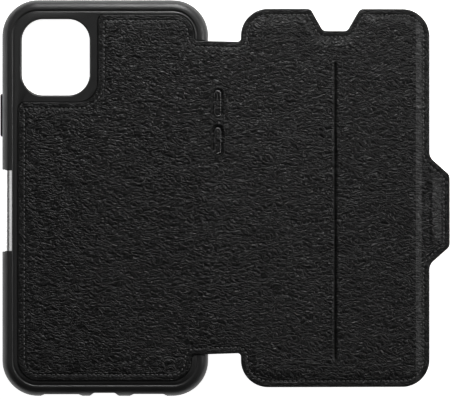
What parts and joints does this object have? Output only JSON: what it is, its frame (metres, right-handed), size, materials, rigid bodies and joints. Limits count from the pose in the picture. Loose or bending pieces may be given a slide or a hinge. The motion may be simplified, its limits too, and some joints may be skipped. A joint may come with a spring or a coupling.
{
  "type": "phone wallet case",
  "caption": "Folio phone case: moulded shell, leather-covered back, folding spine with volume pads, and a padded leather cover that shuts with a magnetic tab.",
  "frame": {"origin": "centre of the open case's footprint, at the plane of the shell's front rim", "axes": "+X from the shell to the tab on the open cover, +Y towards the camera end, +Z out of the leather side"},
  "size_m": [0.1782, 0.1568, 0.012],
  "materials": {
    "polymer": "fine satin moulding texture",
    "button_rubber": "matt",
    "leather": "pebbled grain, semi-matt",
    "lining": "brushed microfibre",
    "microfibre": "brushed microfibre",
    "padding": "felt sheet",
    "board": "plain board",
    "thread": "twisted polyester",
    "steel": "satin",
    "magnet": "plated"
  },
  "bodies": {
    "shell": {"shell": "polymer", "strike_plate": "steel", "back_leather": "leather", "back_padding_sheet": "padding", "phone_bed_liner": "microfibre", "back_seam_thread": "thread", "shell_fold_leather": "leather", "shell_fold_lining": "lining"},
    "side_button": {"side_button": "button_rubber"},
    "spine": {"spine_leather": "leather", "spine_stiffener": "board", "spine_lining": "lining", "spine_upper_seam_thread": "thread", "spine_lower_seam_thread": "thread", "spine_fold_leather": "leather", "spine_fold_lining": "lining"},
    "volume_up": {"volume_up_pad": "leather"},
    "volume_down": {"volume_down_pad": "leather"},
    "cover": {"cover_leather": "leather", "cover_board": "board", "card_pocket_lining": "lining", "cover_lining": "lining", "cover_upper_seam_thread": "thread", "cover_lower_seam_thread": "thread", "latch_fold_leather": "leather", "latch_fold_lining": "lining"},
    "latch": {"latch_leather": "leather", "latch_lining": "leather", "latch_magnet": "magnet", "latch_seam_thread": "thread"}
  },
  "joints": [
    {"name": "shell_fold", "type": "hinge", "parent": "shell", "child": "spine", "pos_m": [-0.00624, 0, 0.0097], "axis": [0, 1, 0], "range_deg": [-95.5, 84.5], "deforming": ["shell_fold_leather", "shell_fold_lining"]},
    {"name": "spine_fold", "type": "hinge", "parent": "spine", "child": "cover", "pos_m": [0.00499, 0, 0.00943], "axis": [0, 1, 0], "range_deg": [-90, 90], "deforming": ["spine_fold_leather", "spine_fold_lining"]},
    {"name": "latch_fold", "type": "hinge", "parent": "cover", "child": "latch", "pos_m": [0.0805, 0, 0.00237], "axis": [0, 1, 0], "range_deg": [-70, 0], "deforming": ["latch_fold_leather", "latch_fold_lining"]},
    {"name": "side_button_press", "type": "slide", "parent": "shell", "child": "side_button", "axis": [1, 0, 0], "range_m": [0, 0.0005], "stiffness_N_per_m": 1500},
    {"name": "volume_up_press", "type": "slide", "parent": "spine", "child": "volume_up", "axis": [-0.0956, 0, -0.9954], "range_m": [0, 0.0005], "stiffness_N_per_m": 1500},
    {"name": "volume_down_press", "type": "slide", "parent": "spine", "child": "volume_down", "axis": [-0.0956, 0, -0.9954], "range_m": [0, 0.0005], "stiffness_N_per_m": 1500}
  ]
}
